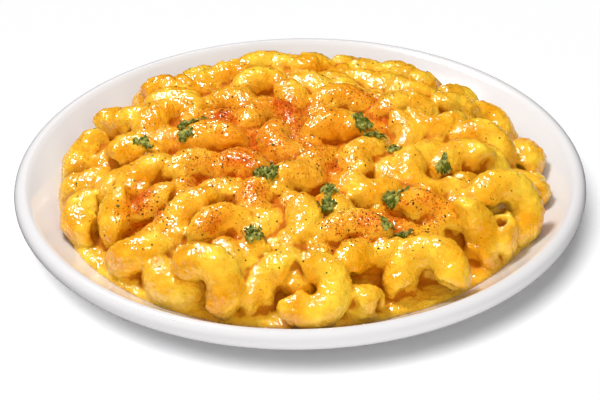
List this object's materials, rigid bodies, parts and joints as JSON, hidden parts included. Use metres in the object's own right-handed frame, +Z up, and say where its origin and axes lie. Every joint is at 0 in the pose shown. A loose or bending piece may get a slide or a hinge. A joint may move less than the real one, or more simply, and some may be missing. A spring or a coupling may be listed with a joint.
{
  "type": "macaroni and cheese on a plate",
  "caption": "Round white coupe plate heaped with elbow macaroni in thick cheese sauce, with chopped parsley leaves on top; it rests on its foot ring.",
  "frame": {"origin": "centre of the plate's foot ring, on the table", "axes": "+Z up along the plate's axis, -Y towards the diner, +X to the diner's right"},
  "size_m": [0.2196, 0.22, 0.0458],
  "materials": {
    "porcelain": "glossy white glaze",
    "cheese_sauce": "wet, glossy, yellow-orange cheese sauce",
    "parsley": "fresh chopped leaf"
  },
  "bodies": {
    "root": {"plate": "porcelain", "macaroni_in_cheese_sauce": "cheese_sauce", "parsley_01": "parsley", "parsley_02": "parsley", "parsley_03": "parsley", "parsley_04": "parsley", "parsley_05": "parsley", "parsley_06": "parsley", "parsley_07": "parsley", "parsley_08": "parsley", "parsley_09": "parsley", "parsley_10": "parsley", "parsley_11": "parsley", "parsley_12": "parsley", "parsley_13": "parsley", "parsley_14": "parsley"}
  },
  "joints": []
}
